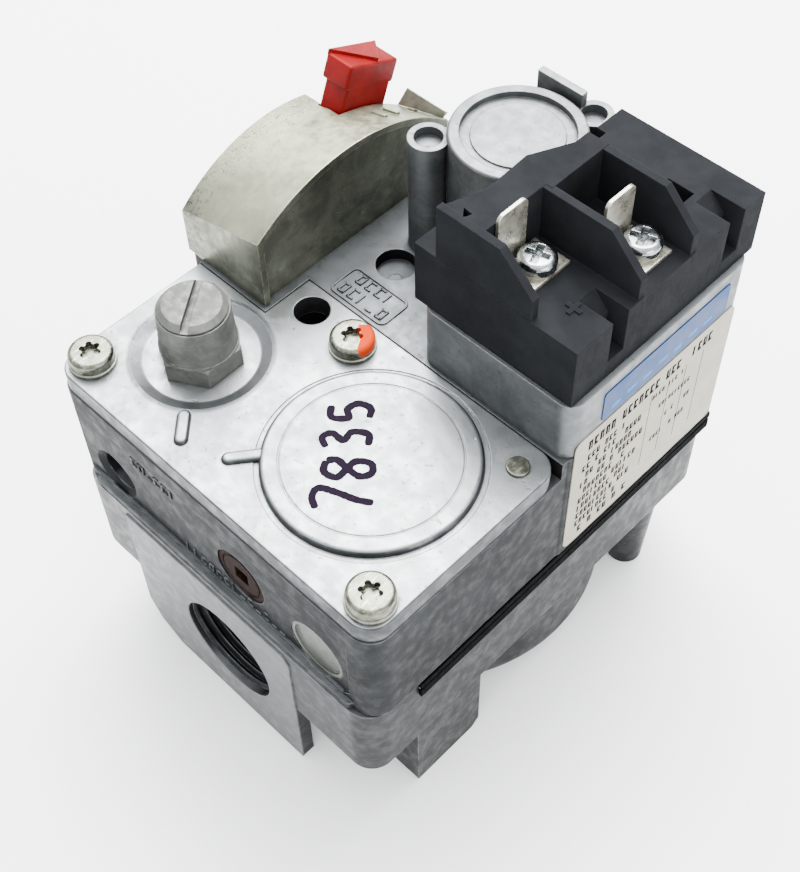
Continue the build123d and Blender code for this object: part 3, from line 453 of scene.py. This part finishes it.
def ribbon(points, width, lift, frame_of, bm, thickness=0.00004):
    """A flat inked or raised stroke along a smooth line through 2-D points (mm)."""
    fine = []
    for i in range(len(points) - 1):
        p0 = points[max(i - 1, 0)]
        p1, p2 = points[i], points[i + 1]
        p3 = points[min(i + 2, len(points) - 1)]
        for step in range(8):
            t = step / 8.0
            fine.append(tuple(0.5 * ((2 * b) + (c - a) * t + (2 * a - 5 * b + 4 * c - d) * t * t
                                     + (3 * b - a - 3 * c + d) * t ** 3)
                              for a, b, c, d in zip(p0, p1, p2, p3)))
    fine.append(points[-1])
    rails = []
    count = len(fine)
    for i, (x, y) in enumerate(fine):
        ax, ay = fine[max(i - 1, 0)]
        bx, by = fine[min(i + 1, count - 1)]
        length = math.hypot(bx - ax, by - ay) or 1.0
        nx, ny = -(by - ay) / length, (bx - ax) / length
        taper = min(1.0, 0.55 + 0.25 * min(i, count - 1 - i))
        half = width / 2 * taper * (0.9 + 0.2 * random.random())
        # the stroke rises a hair along its way, so that it lies over itself where it crosses
        high = lift + 0.04 * i / count
        left = frame_of(x + nx * half, y + ny * half, high)
        right = frame_of(x - nx * half, y - ny * half, high)
        low_left = frame_of(x + nx * half, y + ny * half, lift - thickness * 1000)
        low_right = frame_of(x - nx * half, y - ny * half, lift - thickness * 1000)
        rails.append([bm.verts.new(p) for p in (left, right, low_right, low_left)])
    for one, two in zip(rails, rails[1:]):
        for k in range(4):
            bm.faces.new((one[k], two[k], two[(k + 1) % 4], one[(k + 1) % 4]))
    bm.faces.new(rails[0])
    bm.faces.new(list(reversed(rails[-1])))


def bar(bm, frame_of, x0, x1, y0, y1, low, high, skew=0.0):
    """A small raised block on a surface, drawn in that surface's own 2-D frame (mm)."""
    corners = [(x0, y0), (x1, y0), (x1 + skew, y1), (x0 + skew, y1)]
    inset = min(x1 - x0, y1 - y0) * 0.12
    top = [(x0 + inset, y0 + inset), (x1 - inset, y0 + inset),
           (x1 + skew - inset, y1 - inset), (x0 + skew + inset, y1 - inset)]
    base = [bm.verts.new(frame_of(x, y, low)) for x, y in corners]
    lid = [bm.verts.new(frame_of(x, y, high)) for x, y in top]
    bm.faces.new(lid)
    bm.faces.new(list(reversed(base)))
    for k in range(4):
        bm.faces.new((base[k], base[(k + 1) % 4], lid[(k + 1) % 4], lid[k]))


def closed_mesh(name, bm):
    bmesh.ops.recalc_face_normals(bm, faces=bm.faces)
    mesh = bpy.data.meshes.new(name)
    bm.to_mesh(mesh)
    bm.free()
    return mesh


def ink_material(name, colour, rough=0.35):
    g = Graph(name)
    fade = g.noise(0.9, 5.0, 0.7)
    shade = tuple(min(1.0, c * 1.8 + 0.004) for c in colour)
    return g.finish(g.mix(g.ramp(fade, 0.48, 0.78), colour, shade),
                    g.ramp(fade, 0.3, 0.7, rough, rough + 0.2), 0.0, g.bump(fade, 0.1, 0.02),
                    Specular_IOR_Level=0.02)


# marker strokes on the round head: four loosely written figures
def head_frame(x, y, z):
    angle = math.radians(135.4)
    u = x * math.cos(angle) - y * math.sin(angle)
    v = x * math.sin(angle) + y * math.cos(angle)
    return at(58.9 + u, 24.1 + v, TOP + 1.3 + z)


FIGURES = [
    [[(-1.6, 2.9), (0.4, 3.3), (1.9, 2.6), (1.0, 0.6), (-0.3, -1.4), (-0.9, -3.2)]],
    [[(1.5, 2.9), (-0.4, 3.2), (-1.5, 1.6), (-0.3, 0.4), (1.2, -0.9), (0.8, -2.9), (-0.9, -3.0),
      (-1.4, -1.4), (0.1, 0.2), (1.6, 1.5), (1.5, 2.9)]],
    [[(-1.2, 2.6), (0.6, 3.1), (1.3, 1.8), (-0.1, 0.4), (1.4, -0.7), (0.9, -2.8), (-1.1, -2.7)]],
    [[(1.3, 2.9), (-0.9, 2.9), (-1.1, 0.5), (0.5, 0.6), (1.5, -0.9), (0.6, -2.7), (-1.2, -2.5)]],
]
ink = bmesh.new()
for index, figure in enumerate(FIGURES):
    for stroke in figure:
        size = (1.75, 1.45, 1.5, 1.35)[index]
        placed = [(x * 1.3 - 10.2 + index * 6.7, y * size + (0.4, -0.6, -0.2, -1.2)[index])
                  for x, y in stroke]
        ribbon(placed, 1.5, 0.05, head_frame, ink)
finish_piece("marker_figures", closed_mesh("marker_figures", ink),
             ink_material("marker_ink_look", (0.0045, 0.0012, 0.0065)))


# raised lettering-like marks on the castings
def front_frame(x, y, z):
    return at(x, -z, y)


def floor_frame(x, y, z):
    return at(x, y, TOP + z)


marks = bmesh.new()


def word(frame_of, x, y, height, count, step, low=-0.05, high=0.3):
    """A row of plain raised strokes in the place of a cast legend."""
    for i in range(count):
        kind = random.randrange(4)
        px = x + i * step
        if kind != 2:
            bar(marks, frame_of, px, px + height * 0.16, y, y + height, low, high)
        if kind != 0:
            bar(marks, frame_of, px, px + step * 0.62, y, y + height * 0.16, low, high)
        if kind in (1, 3):
            bar(marks, frame_of, px, px + step * 0.6, y + height * 0.84, y + height, low, high)
        if kind == 3:
            bar(marks, frame_of, px + step * 0.5, px + step * 0.5 + height * 0.16, y,
                y + height, low, high)


word(front_frame, 20.9, 18.9, 3.0, 6, 2.4)
word(front_frame, 34.8, 2.5, 2.7, 13, 2.35)
finish_piece("cast_marks_front", closed_mesh("cast_marks_front", marks), LOOK["cast_alloy"])
marks = bmesh.new()
word(floor_frame, 26.8, 52.9, 2.8, 5, 2.7, high=0.35)
word(floor_frame, 28.0, 56.9, 2.6, 4, 2.7, high=0.35)
finish_piece("cast_marks_top", closed_mesh("cast_marks_top", marks), LOOK["cast_alloy"])

# ---------------------------------------------------------------- threads in the ports
def thread(name, centre_x, centre_z, y0, y1, outward, radius, crest, pitch, look):
    """An internal pipe thread as one continuous ridge that fades in and out at its ends."""
    bm = bmesh.new()
    turns = int((y1 - y0) / pitch) - 1
    per_turn = 64
    rails = []
    for i in range(turns * per_turn + 1):
        turn = i / per_turn
        angle = 2 * math.pi * turn
        y = y0 + (turn + 0.4) * pitch
        grow = min(1.0, turn, turns - turn) if turns > 2 else 1.0
        depth = crest * max(0.15, grow)
        section = []
        for dy, dr in ((-0.45, 0.0), (-0.06, 1.0), (0.06, 1.0), (0.45, 0.0)):
            r = radius - depth * dr
            yy = y + dy * pitch
            if outward > 0:
                yy = y0 + y1 - yy
            section.append(bm.verts.new(at(centre_x + r * math.cos(angle), yy,
                                           centre_z + r * math.sin(angle))))
        rails.append(section)
    for one, two in zip(rails, rails[1:]):
        for k in range(4):
            bm.faces.new((one[k], two[k], two[(k + 1) % 4], one[(k + 1) % 4]))
    bm.faces.new(rails[0])
    bm.faces.new(list(reversed(rails[-1])))
    finish_piece(name, closed_mesh(name, bm), look, smooth=False)


# bore radius, height of the ridge and pitch, in mm
PORT_THREAD = (13.12, 0.95, 1.81)
TAP_THREAD = (4.83, 0.5, 0.94)
thread("inlet_thread", 45.0, -25.6, -1.8, 13.4, -1, *PORT_THREAD, LOOK["cast_alloy"])
thread("outlet_thread", 45.0, -25.6, 93.8, 109.0, 1, *PORT_THREAD, LOOK["cast_alloy"])
thread("tap_thread", 12.8, 7.6, 4.5, 11.4, -1, *TAP_THREAD, LOOK["cast_alloy"])


# ---------------------------------------------------------------- label printing
def side_frame(x, y, z):
    return at(90.5 + z, x, y)


print_bm = bmesh.new()


def dot_row(x, y, height, pattern, step):
    """One printed line: short strokes with gaps, as small coarse print reads from a distance."""
    for i, mark in enumerate(pattern):
        px = x + i * step
        if mark == " ":
            continue
        bar(print_bm, side_frame, px, px + step * 0.40, y, y + height, 0.0, 0.03)
        if mark in "eb":
            bar(print_bm, side_frame, px, px + step * 0.72, y, y + height * 0.28, 0.0, 0.03)
        if mark in "ef":
            bar(print_bm, side_frame, px, px + step * 0.72, y + height * 0.72, y + height,
                0.0, 0.03)
        if mark in "fb":
            bar(print_bm, side_frame, px + step * 0.48, px + step * 0.74, y, y + height,
                0.0, 0.03)


def line_pattern(length):
    return "".join(random.choice("ebf ifb e") for _ in range(length))


dot_row(56.2, 31.8, 2.9, line_pattern(24), 1.7)
for row, length in enumerate((11, 14, 12, 15, 11, 14, 12, 14, 10)):
    dot_row(56.8, 28.2 - row * 2.75, 1.95, line_pattern(length), 1.32)
dot_row(58.0, 3.2, 2.1, "e f eb f e", 1.6)
for row, (start, length) in enumerate(((78.0, 10), (80.0, 11), (84.0, 8), (79.0, 12))):
    dot_row(start, 28.6 - row * 5.2, 1.4, line_pattern(length), 1.05)
for k in range(4):
    bar(print_bm, side_frame, 77.6 + k * 5.6, 77.75 + k * 5.6, 7.0, 30.6, 0.0, 0.03)
finish_piece("label_print", closed_mesh("label_print", print_bm),
             ink_material("label_ink_look", (0.0035, 0.0033, 0.003), 0.6))

band_bm = bmesh.new()
for k in range(7):
    base_x = 63.5 + k * 4.7
    bar(band_bm, side_frame, base_x, base_x + 2.7, 39.6 + (k % 2) * 0.5, 40.6 + (k % 2) * 0.5,
        0.0, 0.03, skew=0.4)
finish_piece("band_marks", closed_mesh("band_marks", band_bm),
             ink_material("band_mark_look", (0.05, 0.17, 0.36), 0.5))


# ---------------------------------------------------------------- floor and light
def make_stage():
    bm = bmesh.new()
    span = 6.0
    corners = [bm.verts.new((x, y, -0.0002)) for x, y in
               ((-span, -span), (span, -span), (span, span), (-span, span))]
    bm.faces.new(corners)
    mesh = closed_mesh("floor", bm)
    floor = bpy.data.objects.new("floor", mesh)
    bpy.context.scene.collection.objects.link(floor)
    g = Graph("floor_look")
    tone = g.mix(g.ramp(g.noise(0.01, 2.0), 0.3, 0.7), (0.955, 0.955, 0.96), (0.97, 0.97, 0.97))
    mesh.materials.append(g.finish(tone, 0.7, 0.0, None))
    world = bpy.data.worlds.new("soft_room")
    world.use_nodes = True
    tree = world.node_tree
    background = tree.nodes["Background"]
    direction = tree.nodes.new("ShaderNodeTexCoord")
    height = tree.nodes.new("ShaderNodeSeparateXYZ")
    level = tree.nodes.new("ShaderNodeMapRange")
    level.inputs["From Min"].default_value = 0.0
    level.inputs["From Max"].default_value = 0.85
    level.inputs["To Min"].default_value = 0.9
    level.inputs["To Max"].default_value = 3.4
    tree.links.new(direction.outputs["Generated"], height.inputs[0])
    tree.links.new(height.outputs["Z"], level.inputs["Value"])
    tree.links.new(level.outputs["Result"], background.inputs["Strength"])
    background.inputs["Color"].default_value = (0.97, 0.985, 1.0, 1.0)
    bpy.context.scene.world = world


def softbox(name, place, target, size, power, colour=(1.0, 1.0, 1.0)):
    data = bpy.data.lights.new(name, "AREA")
    data.shape = "RECTANGLE"
    data.size, data.size_y = size
    data.energy = power
    data.color = colour
    lamp = bpy.data.objects.new(name, data)
    lamp.location = Vector(place)
    lamp.rotation_mode = "QUATERNION"
    lamp.rotation_quaternion = (Vector(target) - Vector(place)).to_track_quat("-Z", "Y")
    bpy.context.scene.collection.objects.link(lamp)


make_stage()
softbox("overhead", (-0.30, 0.40, 0.90), (0.0, 0.0, 0.05), (0.9, 0.7), 55.0)
softbox("side_fill", (0.95, -0.10, 0.40), (0.0, 0.0, 0.05), (0.6, 0.4), 7.0)
